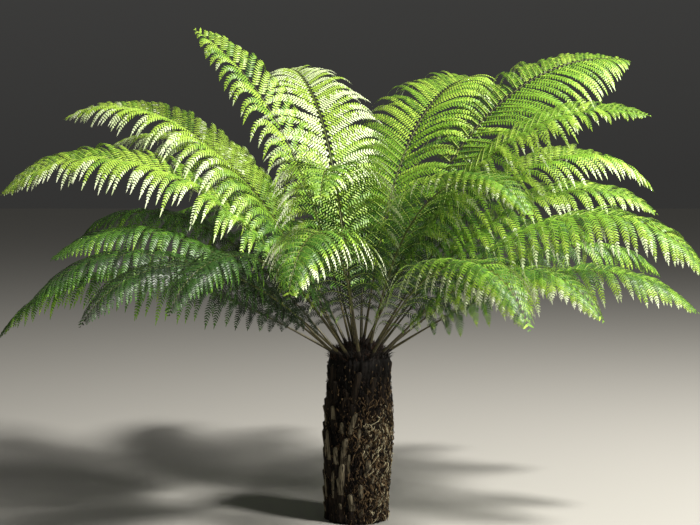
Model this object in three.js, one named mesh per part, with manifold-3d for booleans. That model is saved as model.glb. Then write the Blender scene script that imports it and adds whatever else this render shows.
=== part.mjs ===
// A soft tree fern rooted in level ground: a dark fibrous trunk under a crown of arching fronds.
// Millimetres, with +Z up, +X to the right of the main view and +Y away from it.
// The origin is the middle of the flat cut at the foot of the trunk.

import * as THREE from "three";
import Module from "manifold-3d";
import { mergeVertices } from "three/addons/utils/BufferGeometryUtils.js";

const wasm = await Module();
wasm.setup();

// Trunk: a column with a slight waist above its foot, leaning a little towards +X.
const FOOT_RADIUS = 152;
const WAIST_RADIUS = 146;
const WAIST_HEIGHT = 60;
const BELLY_RADIUS = 160;
const BELLY_HEIGHT = 430;
const SHOULDER_RADIUS = 150;
const SHOULDER_HEIGHT = 726;
const HEAD_RISE = 96; // from the shoulder to the top of the rounded head
const LEAN = 20; // how far the shoulder stands off the foot
const HEAD_RINGS = 4;
// The stubs of old fronds stand in upright ridges round the column, each leaning out at its top.
const STUB_COLUMNS = 26;
const STUB_HEIGHT = 160;
const STUB_STEPS = 4;
const STUB_RELIEF = 11; // how far a stub's top stands out over its foot
const RIDGE_RELIEF = 11; // between the ridges and the furrows beside them
const SEAT_GAP = 0.35; // between a stipe's cut foot and the trunk

// The three whorls of fronds, from the young upright ones in the heart to the old arching ones outside.
// ring is the radius at which a whorl's stipes stand on the head. leaflet is the length of the longest
// leaflet over the frond's. fall is the slope at which a leaflet leaves the rib, how much steeper it hangs
// at its tip, both as falls over horizontal run, and the power by which it bends. sweep is a leaflet's lean
// towards the frond's tip where the blade starts, and how much that grows towards the tip.
const WHORLS = {
  inner: { ring: 42, leaflet: 0.2, fall: [-0.4, 2, 2.2], sweep: [0.25, 0.35], stipe: 10, colour: 0x8fae35 },
  middle: { ring: 82, leaflet: 0.2, fall: [-0.5, 2.9, 1.9], sweep: [0.4, 0.5], stipe: 11, colour: 0x6f9a34 },
  outer: { ring: 126, leaflet: 0.2, fall: [-0.4, 3.5, 1.6], sweep: [0.4, 0.55], stipe: 11, colour: 0x4e7c2f },
};

// Each frond leaves the head towards its azimuth (degrees from +X towards +Y), climbs at rise degrees
// and has turned down by bend degrees at its tip. length is measured along the rib.
// sway turns it sideways on the way, and roll tips its blade. Some fronds have leaflets of their own.
const FRONDS = [
  { whorl: "inner", azimuth: 164, rise: 76, bend: 44, length: 1700, sway: 0, roll: 38, leaflet: 0.19, fall: [-0.7, 6, 3.4], sweep: [0.4, 0.4] },
  { whorl: "inner", azimuth: 112, rise: 76, bend: 78, length: 1830, sway: -3, roll: 6 },
  { whorl: "inner", azimuth: 54, rise: 75, bend: 86, length: 1850, sway: 0, roll: -10, leaflet: 0.22 },
  { whorl: "inner", azimuth: 20, rise: 68, bend: 78, length: 2080, sway: 0, roll: -30, leaflet: 0.25, fall: [0, 1.9, 2.2] },
  { whorl: "inner", azimuth: 350, rise: 64, bend: 82, length: 1800, sway: 0, roll: -22 },
  { whorl: "middle", azimuth: 15, rise: 58, bend: 106, length: 1860, sway: 2, roll: -18, leaflet: 0.21 },
  { whorl: "middle", azimuth: 2, rise: 53, bend: 92, length: 1600, sway: -4, roll: -18, leaflet: 0.21 },
  { whorl: "middle", azimuth: 306, rise: 70, bend: 130, length: 1460, sway: 8, roll: 0, leaflet: 0.23 },
  { whorl: "middle", azimuth: 256, rise: 70, bend: 120, length: 1480, sway: 10, roll: 0, leaflet: 0.24 },
  { whorl: "middle", azimuth: 186, rise: 54, bend: 98, length: 1920, sway: 0, roll: 22 },
  { whorl: "middle", azimuth: 166, rise: 63, bend: 86, length: 1950, sway: -3, roll: 18 },
  { whorl: "middle", azimuth: 151, rise: 60, bend: 84, length: 1800, sway: 4, roll: 12 },
  { whorl: "middle", azimuth: 89, rise: 62, bend: 92, length: 1750, sway: -7, roll: 0 },
  { whorl: "outer", azimuth: 338, rise: 48, bend: 112, length: 1770, sway: 4, roll: -12, leaflet: 0.22 },
  { whorl: "outer", azimuth: 353, rise: 32, bend: 80, length: 1560, sway: 2, roll: -8, leaflet: 0.21 },
  { whorl: "outer", azimuth: 323, rise: 42, bend: 104, length: 1320, sway: 0, roll: 0, leaflet: 0.22 },
  { whorl: "outer", azimuth: 297, rise: 44, bend: 112, length: 1440, sway: 4, roll: 0, leaflet: 0.22 },
  { whorl: "outer", azimuth: 260, rise: 56, bend: 131, length: 1440, sway: -9, roll: 0, leaflet: 0.23 },
  { whorl: "outer", azimuth: 233, rise: 46, bend: 110, length: 1420, sway: 2, roll: 0 },
  { whorl: "outer", azimuth: 222, rise: 38, bend: 95, length: 1560, sway: 0, roll: 0 },
  { whorl: "outer", azimuth: 208, rise: 39, bend: 94, length: 1620, sway: -3, roll: 0 },
  { whorl: "outer", azimuth: 196, rise: 46, bend: 88, length: 1500, sway: 4, roll: 6 },
  { whorl: "outer", azimuth: 181, rise: 29, bend: 88, length: 1720, sway: 0, roll: 8 },
  { whorl: "outer", azimuth: 163, rise: 48, bend: 92, length: 1620, sway: -5, roll: 0 },
  { whorl: "outer", azimuth: 131, rise: 46, bend: 92, length: 1700, sway: 7, roll: 0 },
  { whorl: "outer", azimuth: 104, rise: 40, bend: 86, length: 1720, sway: -5, roll: 0 },
  { whorl: "outer", azimuth: 70, rise: 45, bend: 92, length: 1700, sway: 6, roll: 0 },
  { whorl: "outer", azimuth: 40, rise: 42, bend: 86, length: 1700, sway: -5, roll: 0 },
  { whorl: "outer", azimuth: 17, rise: 36, bend: 80, length: 1650, sway: 5, roll: 0 },
];

// Frond anatomy
const BEND_POWER = 2.2; // a rib is stiff near its foot and bends most towards its tip
const RIB_STEPS = 48;
const BLADE_START = 0.13; // share of the rib that is bare stipe
const STIPE_STATIONS = 4;
const SUNK_FOOT = 40; // how far a stipe is drawn back into the head before it is cut to it
const EVEN_FEET = 0.6; // how far the feet of a whorl are spread from their azimuths to even spacing
const LEAFLET_SPACING = 90; // along the rib
const LEAFLET_STEPS = 8;
const LEAFLET_WIDEST = 0.5; // share of its length at which a leaflet is widest
const LEAFLET_WIDTH = 0.88; // over the spacing
const ROOT_WIDTH = 0.56; // of a leaflet on the rib, over the spacing
const LEAFLET_RIDGE = 5; // height of a leaflet's midrib over its edges
const LEAFLET_CLEAR = 0.8; // least gap to other leaflets and to the ribs of other fronds
const SPACING_TAPER = 0.25; // leaflets stand closer towards the tip
const LENGTH_JITTER = 0.07; // how far leaflets differ in length from their neighbours
// Ways to lay a leaflet, tried in turn until it is clear of all the others.
const SHORTENINGS = [1, 0.86, 0.7, 0.5, 0.34];
const TILTS = [0, 0.35, -0.35, 0.8, -0.7];

const UP = new THREE.Vector3(0, 0, 1);
const radians = THREE.MathUtils.degToRad;
const lerp = THREE.MathUtils.lerp;
const clamp = THREE.MathUtils.clamp;

// A repeatable number between -1 and 1 for each pair of whole numbers.
function jitter(a, b) {
  const x = Math.sin(a * 12.9898 + b * 78.233) * 43758.5453;
  return 2 * (x - Math.floor(x)) - 1;
}

// A closed shell collected vertex by vertex and face by face.
class Shell {
  constructor() {
    this.places = [];
    this.faces = [];
  }

  add(place) {
    this.places.push(place.x, place.y, place.z);
    return this.places.length / 3 - 1;
  }

  // A face given by its corners, anticlockwise from outside on the right-hand side (side 1).
  face(side, ...corners) {
    const ordered = side > 0 ? corners : corners.reverse();
    for (let i = 2; i < ordered.length; i++) this.faces.push(ordered[0], ordered[i - 1], ordered[i]);
  }

  solid() {
    return new wasm.Manifold(
      new wasm.Mesh({
        numProp: 3,
        vertProperties: new Float32Array(this.places),
        triVerts: new Uint32Array(this.faces),
      }),
    );
  }
}

function geometryOf(solid) {
  const mesh = solid.getMesh();
  return new THREE.BufferGeometry()
    .setAttribute("position", new THREE.BufferAttribute(mesh.vertProperties, 3))
    .setIndex(new THREE.BufferAttribute(mesh.triVerts, 1));
}

function solidOf(geometry) {
  const bare = geometry.clone();
  bare.deleteAttribute("normal");
  bare.deleteAttribute("uv");
  const merged = mergeVertices(bare, 1e-3);
  return new wasm.Manifold(
    new wasm.Mesh({
      numProp: 3,
      vertProperties: merged.attributes.position.array,
      triVerts: new Uint32Array(merged.index.array),
    }),
  );
}

// The trunk's axis at a height, from the foot's middle to the leaning head.
function axisAt(height) {
  return new THREE.Vector3(LEAN * Math.min(1, height / SHOULDER_HEIGHT), 0, height);
}

// The height of the rounded head at a radius from its axis.
function headHeight(radius) {
  return SHOULDER_HEIGHT + HEAD_RISE * Math.sqrt(1 - (radius / SHOULDER_RADIUS) ** 2);
}

// How far the trunk's surface stands out at a ring of a column: ridge and furrow by turns, and in each
// column the stubs start at a height of their own.
function stubRelief(column, ring) {
  const start = Math.floor((1 + jitter(column, 0)) * STUB_STEPS);
  const rise = ((ring + start) % STUB_STEPS) / (STUB_STEPS - 1) - 0.5;
  const ridge = column % 2 ? 0.5 : -0.5;
  return STUB_RELIEF * rise + RIDGE_RELIEF * ridge;
}

// The trunk as a solid of revolution, pushed in and out by the stubs and bent to its lean.
// grown swells it outwards, for the shape that stipes are cut with.
function trunkSolid(grown) {
  const column = new THREE.SplineCurve([
    new THREE.Vector2(FOOT_RADIUS, 0),
    new THREE.Vector2(WAIST_RADIUS, WAIST_HEIGHT),
    new THREE.Vector2(BELLY_RADIUS, BELLY_HEIGHT),
    new THREE.Vector2(SHOULDER_RADIUS, SHOULDER_HEIGHT),
  ]);
  const rings = Math.round((SHOULDER_HEIGHT / STUB_HEIGHT) * STUB_STEPS);
  const profile = [new THREE.Vector2(0, 0)];
  for (let i = 0; i <= rings; i++) {
    const { x, y } = column.getPointAt(i / rings);
    profile.push(new THREE.Vector2(x + grown, y));
  }
  for (let i = 1; i <= HEAD_RINGS; i++) {
    const angle = (Math.PI / 2) * (i / HEAD_RINGS);
    const radius = i < HEAD_RINGS ? (SHOULDER_RADIUS + grown) * Math.cos(angle) : 0;
    profile.push(new THREE.Vector2(radius, SHOULDER_HEIGHT + (HEAD_RISE + grown) * Math.sin(angle)));
  }
  const geometry = new THREE.LatheGeometry(profile, STUB_COLUMNS);
  const place = geometry.attributes.position;
  const perColumn = profile.length;
  for (let i = 0; i < place.count; i++) {
    const ring = (i % perColumn) - 1;
    const stub = Math.floor(i / perColumn) % STUB_COLUMNS;
    const radius = Math.hypot(place.getX(i), place.getZ(i));
    const height = place.getY(i);
    const onColumn = ring > 0 && ring < rings;
    const swollen = onColumn ? 1 + stubRelief(stub, ring) / radius : 1;
    place.setXYZ(i, place.getX(i) * swollen + axisAt(height).x, -place.getZ(i) * swollen, height);
  }
  return solidOf(geometry);
}

// Where round the head each frond of a whorl stands, in degrees: near its azimuth, with room for its neighbours.
function footAngles(whorl) {
  const fronds = FRONDS.filter((frond) => frond.whorl === whorl).sort((a, b) => a.azimuth - b.azimuth);
  const pitch = 360 / fronds.length;
  const mean = fronds.reduce((sum, frond) => sum + frond.azimuth, 0) / fronds.length;
  const first = mean - (pitch * (fronds.length - 1)) / 2;
  return new Map(fronds.map((frond, i) => [frond, lerp(frond.azimuth, first + pitch * i, EVEN_FEET)]));
}

// A frond's rib: where it runs, and the frame of its blade at each point.
class Rib {
  constructor(frond, footAngle) {
    this.frond = frond;
    const { ring } = WHORLS[frond.whorl];
    const foot = axisAt(headHeight(ring));
    foot.x += ring * Math.cos(radians(footAngle));
    foot.y += ring * Math.sin(radians(footAngle));
    this.places = [foot];
    for (let i = 0; i < RIB_STEPS; i++) {
      const step = this.tangent((i + 0.5) / RIB_STEPS).multiplyScalar(frond.length / RIB_STEPS);
      this.places.push(this.places[i].clone().add(step));
    }
  }

  tangent(t) {
    const along = clamp(t, 0, 1);
    const climb = radians(this.frond.rise - this.frond.bend * along ** BEND_POWER);
    const heading = radians(this.frond.azimuth + this.frond.sway * along);
    return new THREE.Vector3(
      Math.cos(climb) * Math.cos(heading),
      Math.cos(climb) * Math.sin(heading),
      Math.sin(climb),
    );
  }

  place(t) {
    if (t < 0) return this.places[0].clone().addScaledVector(this.tangent(0), t * this.frond.length);
    const step = Math.min(t * RIB_STEPS, RIB_STEPS - 1e-9);
    const i = Math.floor(step);
    return this.places[i].clone().lerp(this.places[i + 1], step - i);
  }

  // Unit vectors at t: along the rib, to the right of the blade and up out of it.
  frame(t) {
    const along = this.tangent(t);
    const level = new THREE.Vector3(along.y, -along.x, 0).normalize();
    const above = level.clone().cross(along);
    const roll = radians(this.frond.roll * clamp(t, 0, 1));
    const right = level.multiplyScalar(Math.cos(roll)).addScaledVector(above, Math.sin(roll));
    return { along, right, above: right.clone().cross(along) };
  }

  halfWidth(t) {
    return WHORLS[this.frond.whorl].stipe * (1 - clamp(t, 0, 1)) ** 0.8 + 1.8;
  }
}

// Share of the longest leaflet's length at u, from the blade's foot (0) to the frond's tip (1).
function leafletShare(u) {
  return 2.82 * (u + 0.02) ** 0.7 * (1 - u) ** 0.85;
}

// The line of a leaflet: it leaves the rib sideways, swept a little forward, and its own weight bends it down.
function leafletLine(rib, t, side, longest, tilt) {
  const { fall, sweep } = { ...WHORLS[rib.frond.whorl], ...rib.frond };
  const u = (t - BLADE_START) / (1 - BLADE_START);
  const { along, right } = rib.frame(t);
  const line = [rib.place(t).addScaledVector(right, side * rib.halfWidth(t))];
  for (let i = 0; i < LEAFLET_STEPS; i++) {
    const slope = fall[0] + tilt + fall[1] * ((i + 0.5) / LEAFLET_STEPS) ** fall[2];
    const heading = right
      .clone()
      .multiplyScalar(side)
      .addScaledVector(along, sweep[0] + sweep[1] * u * u)
      .addScaledVector(UP, -slope)
      .normalize();
    line.push(line[i].clone().addScaledVector(heading, longest / LEAFLET_STEPS));
  }
  return line;
}

function onLine(line, share) {
  const step = Math.min(share * LEAFLET_STEPS, LEAFLET_STEPS - 1e-9);
  const i = Math.floor(step);
  return line[i].clone().lerp(line[i + 1], step - i);
}

// A leaflet as a roofed kite: three corners at its root on the rib, three where it is widest, and a tip.
// The corners run front edge, back edge, ridge.
function leaflet(rib, { t, side, length, corners, spacing }, shortening, tilt) {
  const line = leafletLine(rib, t, side, length * shortening, tilt);
  const widest = onLine(line, LEAFLET_WIDEST);
  const tip = line[LEAFLET_STEPS];
  const outward = tip.clone().sub(line[0]).normalize();
  const { along } = rib.frame(t);
  const across = along.clone().addScaledVector(outward, -along.dot(outward)).normalize();
  const above = across.clone().cross(outward).multiplyScalar(-side);
  const half = (LEAFLET_WIDTH * spacing) / 2;
  const ridge = Math.min(LEAFLET_RIDGE, 0.25 * half);
  return {
    side,
    root: corners,
    middle: [
      widest.clone().addScaledVector(across, -half),
      widest.clone().addScaledVector(across, half),
      widest.clone().addScaledVector(above, ridge),
    ],
    tip,
  };
}

// Adds a leaflet's faces to a shell, on root corners that the shell already has.
function addLeaflet(shell, root, { side, middle, tip }) {
  const outer = middle.map((corner) => shell.add(corner));
  const end = shell.add(tip);
  for (let i = 0; i < 3; i++) {
    const next = (i + 1) % 3;
    shell.face(side, outer[next], outer[i], root[i], root[next]);
    shell.face(side, outer[i], outer[next], end);
  }
}

// A leaflet by itself, closed at its root, to test whether it is clear of the others.
function looseLeaflet(leaf) {
  const shell = new Shell();
  const root = leaf.root.map((corner) => shell.add(corner));
  shell.face(leaf.side, root[2], root[1], root[0]);
  addLeaflet(shell, root, leaf);
  return shell.solid();
}

// The rails of a rib: two lower and two upper edges, with three corners for each leaflet's root.
function railsOf(rib) {
  const { frond } = rib;
  const pairs = Math.round((frond.length * (1 - BLADE_START)) / LEAFLET_SPACING);
  const bladeAt = (x) => BLADE_START + (1 - BLADE_START) * x * (1 + SPACING_TAPER * (1 - x));
  const corner = (t, side, level) => {
    const { right, above } = rib.frame(t);
    const half = rib.halfWidth(t);
    return rib
      .place(t)
      .addScaledVector(right, side * half)
      .addScaledVector(above, level * half * 0.75);
  };
  const sunk = -SUNK_FOOT / frond.length;
  const stipe = Array.from({ length: STIPE_STATIONS }, (_, i) =>
    lerp(sunk, BLADE_START * 0.9, i / (STIPE_STATIONS - 1)),
  );
  const roots = Array.from({ length: pairs }, (_, i) => {
    const t = bladeAt((i + 0.5) / pairs);
    const spacing = frond.length * (bladeAt((i + 1) / pairs) - bladeAt(i / pairs));
    const reach = (ROOT_WIDTH * spacing) / 2 / frond.length;
    return { t, front: t - reach, back: t + reach, spacing };
  });
  return { corner, stipe, roots, end: rib.place(1) };
}

function stipeFaces(shell, rails) {
  const stations = rails.stipe.map((t) => ({
    lower: { [-1]: shell.add(rails.corner(t, -1, -1)), 1: shell.add(rails.corner(t, 1, -1)) },
    upper: { [-1]: shell.add(rails.corner(t, -1, 1)), 1: shell.add(rails.corner(t, 1, 1)) },
  }));
  const foot = stations[0];
  shell.face(1, foot.lower[-1], foot.lower[1], foot.upper[1], foot.upper[-1]);
  for (let i = 1; i < stations.length; i++) {
    const [a, b] = [stations[i - 1], stations[i]];
    for (const side of [-1, 1]) shell.face(side, a.lower[side], b.lower[side], b.upper[side], a.upper[side]);
    shell.face(1, a.upper[-1], a.upper[1], b.upper[1], b.upper[-1]);
    shell.face(1, a.lower[-1], b.lower[-1], b.lower[1], a.lower[1]);
  }
  return stations.at(-1);
}

// The whole frond in one closed shell. leaves holds the leaflets by root and side, with null for a bare root.
function frondShell(rib, leaves) {
  const shell = new Shell();
  const rails = railsOf(rib);
  const last = stipeFaces(shell, rails);
  let [back, crest] = [last.lower, last.upper];
  rails.roots.forEach((root, i) => {
    const front = {};
    const behind = {};
    const ridge = {};
    for (const side of [-1, 1]) {
      front[side] = shell.add(rails.corner(root.front, side, -1));
      behind[side] = shell.add(rails.corner(root.back, side, -1));
      ridge[side] = shell.add(rails.corner(root.t, side, 1));
      shell.face(side, back[side], front[side], crest[side]);
      shell.face(side, crest[side], front[side], ridge[side]);
      const corners = [front[side], behind[side], ridge[side]];
      const leaf = leaves?.[i][side];
      if (leaf) addLeaflet(shell, corners, leaf);
      else shell.face(side, ...corners);
    }
    shell.face(1, crest[-1], crest[1], ridge[1], ridge[-1]);
    shell.face(1, back[-1], front[-1], front[1], back[1]);
    shell.face(1, front[-1], behind[-1], behind[1], front[1]);
    [back, crest] = [behind, ridge];
  });
  const end = shell.add(rails.end);
  for (const side of [-1, 1]) shell.face(side, back[side], end, crest[side]);
  shell.face(1, crest[-1], crest[1], end);
  shell.face(1, back[-1], end, back[1]);
  return shell;
}

function boxesMeet(a, b, margin) {
  return [0, 1, 2].every((i) => a.min[i] - margin < b.max[i] && b.min[i] - margin < a.max[i]);
}

function isClear(candidate, others) {
  const box = candidate.boundingBox();
  return others.every(
    (other) =>
      !boxesMeet(box, other.box, LEAFLET_CLEAR) ||
      candidate.minGap(other.solid, LEAFLET_CLEAR) >= LEAFLET_CLEAR,
  );
}

// Lays one leaflet, or gives null where every way to lay it would touch another rib or leaflet.
function layLeaflet(rib, root, placed) {
  const others = placed.filter((other) => other.rib !== rib || other.isLeaflet);
  for (const shortening of SHORTENINGS) {
    for (const tilt of TILTS) {
      const leaf = leaflet(rib, root, shortening, tilt);
      const solid = looseLeaflet(leaf);
      if (isClear(solid, others)) {
        placed.push({ rib, isLeaflet: true, solid, box: solid.boundingBox() });
        return leaf;
      }
    }
  }
  return null;
}

function layLeaflets(rib, placed) {
  const rails = railsOf(rib);
  return rails.roots.map((root, number) => {
    const u = (root.t - BLADE_START) / (1 - BLADE_START);
    const longest = rib.frond.length * (rib.frond.leaflet ?? WHORLS[rib.frond.whorl].leaflet) * leafletShare(u);
    const pair = {};
    for (const side of [-1, 1]) {
      const length = longest * (1 + LENGTH_JITTER * jitter(rib.frond.azimuth, 2 * number + side));
      const corners = [
        rails.corner(root.front, side, -1),
        rails.corner(root.back, side, -1),
        rails.corner(root.t, side, 1),
      ];
      pair[side] = layLeaflet(rib, { ...root, side, length, corners }, placed);
    }
    return pair;
  });
}

const fern = new THREE.Group();
fern.name = "tree_fern";

const bark = new THREE.MeshStandardMaterial({ color: 0x33261c, roughness: 0.95, metalness: 0 });
const trunk = new THREE.Mesh(geometryOf(trunkSolid(0)), bark);
trunk.name = "trunk";
fern.add(trunk);

const cutter = trunkSolid(SEAT_GAP);
const feet = Object.fromEntries(Object.keys(WHORLS).map((whorl) => [whorl, footAngles(whorl)]));
const ribs = FRONDS.map((frond) => new Rib(frond, feet[frond.whorl].get(frond)));
const placed = ribs.map((rib) => {
  const solid = frondShell(rib, null).solid();
  return { rib, isLeaflet: false, solid, box: solid.boundingBox() };
});
const counts = {};
ribs.forEach((rib) => {
  const { whorl } = rib.frond;
  counts[whorl] = (counts[whorl] ?? 0) + 1;
  const leaves = layLeaflets(rib, placed);
  const solid = frondShell(rib, leaves).solid().subtract(cutter);
  const green = new THREE.MeshStandardMaterial({
    color: WHORLS[whorl].colour,
    roughness: 0.55,
    metalness: 0,
  });
  const blade = new THREE.Mesh(geometryOf(solid), green);
  blade.name = `frond_${whorl}_${counts[whorl]}`;
  fern.add(blade);
});

export default fern;
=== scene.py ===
# %% [markdown]
# # A soft tree fern
# A tree fern is a column of old stipe bases matted together with black roots, under a crown of arching
# fronds. Here each plain solid of the frame is replaced by finer growth that follows the same rules.
# A frond is divided twice: into leaflets, and each leaflet into small toothed segments, its pinnules.
# Everything is worked out with numpy as whole arrays of points, because a crown has tens of thousands of
# pinnules, and a loop that makes them one at a time would take minutes.

import bpy
import numpy as np
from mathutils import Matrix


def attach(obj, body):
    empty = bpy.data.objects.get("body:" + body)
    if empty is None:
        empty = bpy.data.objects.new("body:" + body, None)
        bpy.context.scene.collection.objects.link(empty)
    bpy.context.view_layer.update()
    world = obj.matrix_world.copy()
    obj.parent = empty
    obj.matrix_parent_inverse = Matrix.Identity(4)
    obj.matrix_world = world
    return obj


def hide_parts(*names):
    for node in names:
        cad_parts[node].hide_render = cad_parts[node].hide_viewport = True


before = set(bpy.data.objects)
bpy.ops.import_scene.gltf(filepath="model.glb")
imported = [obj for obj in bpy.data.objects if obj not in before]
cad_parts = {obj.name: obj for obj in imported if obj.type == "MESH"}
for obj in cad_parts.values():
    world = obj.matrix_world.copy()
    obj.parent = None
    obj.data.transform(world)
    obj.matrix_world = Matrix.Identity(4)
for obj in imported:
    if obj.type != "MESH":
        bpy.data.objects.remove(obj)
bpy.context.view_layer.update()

# %% [markdown]
# ## Named sizes
# The fronds stand in three whorls: young upright ones in the heart, grown ones round them and old low ones
# outside. A table gives each frond its direction, climb, bend, length, sideways turn and roll. The frame's
# solids have the same ribs, so what grows here fills the same space.
# The last four columns belong to the looks. Leaflet is the longest leaflet's length over the frond's, and
# pitch the mean distance between leaflets on one side. Tone goes from painted deep shade (0) to painted
# sunlit wax (6): fronds near the heart are younger and lighter, and fronds on the sunny side are given
# lighter tones as painted sunlight, those on the shaded side darker ones as painted shade. Tips is how
# many tones paler the leaflets' ends are, a painted highlight where their wax would face the sun.

# %% Sizes of the whorls, in millimetres, and the table of fronds
MM = 0.001
UP = np.array([0.0, 0.0, 1.0])

# ring: radius at which the stipes stand on the head. stipe: half the width of a solid's stipe at its foot.
# fall: slope at which a leaflet leaves the rib, how much steeper it hangs at its tip, and the power by
# which it bends. sweep: its lean towards the frond's tip where the blade starts, and how much that grows.
# teeth: spacing of the pinnules along a leaflet of full size. widest: most that a leaflet's edge stands
# from its line.
WHORLS = {
    "inner": {
        "ring": 42, "fall": (-0.4, 2.0, 2.2), "sweep": (0.25, 0.35), "stipe": 10, "teeth": 12.6, "widest": 30,
    },
    "middle": {
        "ring": 82, "fall": (-0.5, 2.9, 1.9), "sweep": (0.4, 0.5), "stipe": 11, "teeth": 13, "widest": 30,
    },
    "outer": {
        "ring": 126, "fall": (-0.4, 3.5, 1.6), "sweep": (0.4, 0.55), "stipe": 11, "teeth": 13, "widest": 31,
    },
}
# Three young fronds differ from their whorl. The leaflets of the first still hook down at their tips from
# unrolling and are slim, those of the third are broad, and those of the fourth leave the rib level.
OWN_HABIT = {
    "frond_inner_1": {"fall": (-0.7, 6.0, 3.4), "sweep": (0.4, 0.4), "teeth": 14, "widest": 22},
    "frond_inner_3": {"widest": 36},
    "frond_inner_4": {"fall": (0.0, 1.9, 2.2)},
}
COLUMNS = ("whorl", "azimuth", "rise", "bend", "length", "sway", "roll", "leaflet", "pitch", "tone", "tips")
# Tone and tips in each row are painted light: fronds in the sun are lighter, fronds in shade darker.
FRONDS = [
    dict(zip(COLUMNS, row))
    for row in [
        ("inner", 164, 76, 44, 1700, 0, 38, 0.19, 57, 4.1, 1.0),
        ("inner", 112, 76, 78, 1830, -3, 6, 0.20, 31, 5.0, 1.2),
        ("inner", 54, 75, 86, 1850, 0, -10, 0.22, 27, 3.8, 0.9),
        ("inner", 20, 68, 78, 2080, 0, -30, 0.25, 32, 3.6, 1.4),
        ("inner", 350, 64, 82, 1800, 0, -22, 0.20, 35, 3.7, 1.5),
        ("middle", 15, 58, 106, 1860, 2, -18, 0.21, 36, 3.8, 2.0),
        ("middle", 2, 53, 92, 1600, -4, -18, 0.21, 37, 3.5, 2.2),
        ("middle", 306, 70, 130, 1460, 8, 0, 0.23, 40, 2.9, 3.4),
        ("middle", 256, 70, 120, 1480, 10, 0, 0.24, 40, 3.0, 5.6),
        ("middle", 186, 54, 98, 1920, 0, 22, 0.21, 31, 4.0, 2.0),
        ("middle", 166, 63, 86, 1950, -3, 18, 0.21, 32, 4.4, 1.8),
        ("middle", 151, 60, 84, 1800, 4, 12, 0.20, 36, 4.8, 1.4),
        ("middle", 89, 62, 92, 1750, -7, 0, 0.20, 38, 3.2, 1.2),
        ("outer", 338, 48, 112, 1770, 4, -12, 0.22, 39, 3.4, 2.8),
        ("outer", 353, 32, 80, 1560, 2, -8, 0.21, 40, 3.0, 3.0),
        ("outer", 323, 42, 104, 1320, 0, 0, 0.22, 45, 2.8, 4.8),
        ("outer", 297, 44, 112, 1440, 4, 0, 0.22, 42, 2.9, 5.6),
        ("outer", 260, 56, 131, 1440, -9, 0, 0.23, 42, 2.6, 6.2),
        ("outer", 233, 46, 110, 1420, 2, 0, 0.20, 31, 1.4, 1.3),
        ("outer", 222, 38, 95, 1560, 0, 0, 0.20, 30, 0.8, 1.2),
        ("outer", 208, 39, 94, 1620, -3, 0, 0.20, 30, 1.4, 1.5),
        ("outer", 196, 46, 88, 1500, 4, 6, 0.21, 31, 2.2, 1.5),
        ("outer", 181, 29, 88, 1720, 0, 8, 0.20, 31, 2.2, 1.5),
        ("outer", 163, 48, 92, 1620, -5, 0, 0.20, 40, 1.7, 1.6),
        ("outer", 131, 46, 92, 1700, 7, 0, 0.20, 40, 2.0, 1.6),
        ("outer", 104, 40, 86, 1720, -5, 0, 0.20, 40, 2.0, 1.4),
        ("outer", 70, 45, 92, 1700, 6, 0, 0.20, 40, 2.0, 1.4),
        ("outer", 40, 42, 86, 1700, -5, 0, 0.20, 40, 2.3, 1.6),
        ("outer", 17, 36, 80, 1650, 5, 0, 0.20, 40, 2.6, 1.8),
    ]
]
for whorl in WHORLS:
    for number, frond in enumerate((f for f in FRONDS if f["whorl"] == whorl), 1):
        frond["node"] = f"frond_{whorl}_{number}"
print("fronds", len(FRONDS), "total length of rib", sum(f["length"] for f in FRONDS) * MM, "m")

# %% [markdown]
# ## The column's shape
# The trunk is nearly straight, with a slight waist above its foot and a rounded head that the stipes stand
# on. A profile needs only the radius at a few heights. A smooth step between them has no slope at each
# named height, which suits this profile, because they are its narrowest and widest places.

# %% Radius and axis of the trunk
SHOULDER_RADIUS, SHOULDER_HEIGHT, HEAD_RISE, LEAN = 150, 726, 96, 20  # all in millimetres
COLUMN = {"heights": (0, 60, 430, SHOULDER_HEIGHT), "radii": (152, 146, 160, SHOULDER_RADIUS)}


def column_radius(height):
    """The trunk's radius in millimetres: between two named heights it goes over as 3u^2 - 2u^3."""
    heights, radii = np.array(COLUMN["heights"]), np.array(COLUMN["radii"])
    i = np.clip(np.searchsorted(heights, height, side="right") - 1, 0, len(heights) - 2)
    u = np.clip((height - heights[i]) / (heights[i + 1] - heights[i]), 0, 1)
    return radii[i] + (radii[i + 1] - radii[i]) * u * u * (3 - 2 * u)


def head_height(radius):
    """Height of the rounded head at a radius: the shoulder's, plus rise * sqrt(1 - (r / shoulder)^2)."""
    return SHOULDER_HEIGHT + HEAD_RISE * np.sqrt(np.clip(1 - (radius / SHOULDER_RADIUS) ** 2, 0, 1))


def axis_shift(height):
    """How far the leaning axis stands from the foot's middle at a height."""
    return LEAN * np.minimum(1, height / SHOULDER_HEIGHT)


def on_trunk(angle, height, out):
    """Points in metres at an angle round the axis and a height, out millimetres off the trunk's surface."""
    reach = column_radius(height) + out
    return MM * np.stack(
        [axis_shift(height) + reach * np.cos(angle), reach * np.sin(angle), height + 0 * angle], axis=-1
    )


print("radius at half height", round(float(column_radius(SHOULDER_HEIGHT / 2)), 1), "mm")

# %% [markdown]
# ## Ribs
# A frond's rib is stiff near its foot and bends most towards its tip. A Bezier curve could be drawn by hand
# for each one, but a rule is shorter: the climb at share t of the length is the rise minus the bend times
# t to the power 2.2, and the rib is the running sum of short steps in that direction.

# %% The rib's curve and its frame
BEND_POWER = 2.2
RIB_STEPS = 48
EVEN_FEET = 0.6  # how far the feet of a whorl are spread from their azimuths to even spacing
RIB_TAPER, RIB_TIP = 0.8, 1.8  # power by which a rib narrows, and half its width at the tip, in millimetres


def unit(vectors):
    """Vectors divided by their lengths."""
    return vectors / np.linalg.norm(vectors, axis=-1, keepdims=True)


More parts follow.
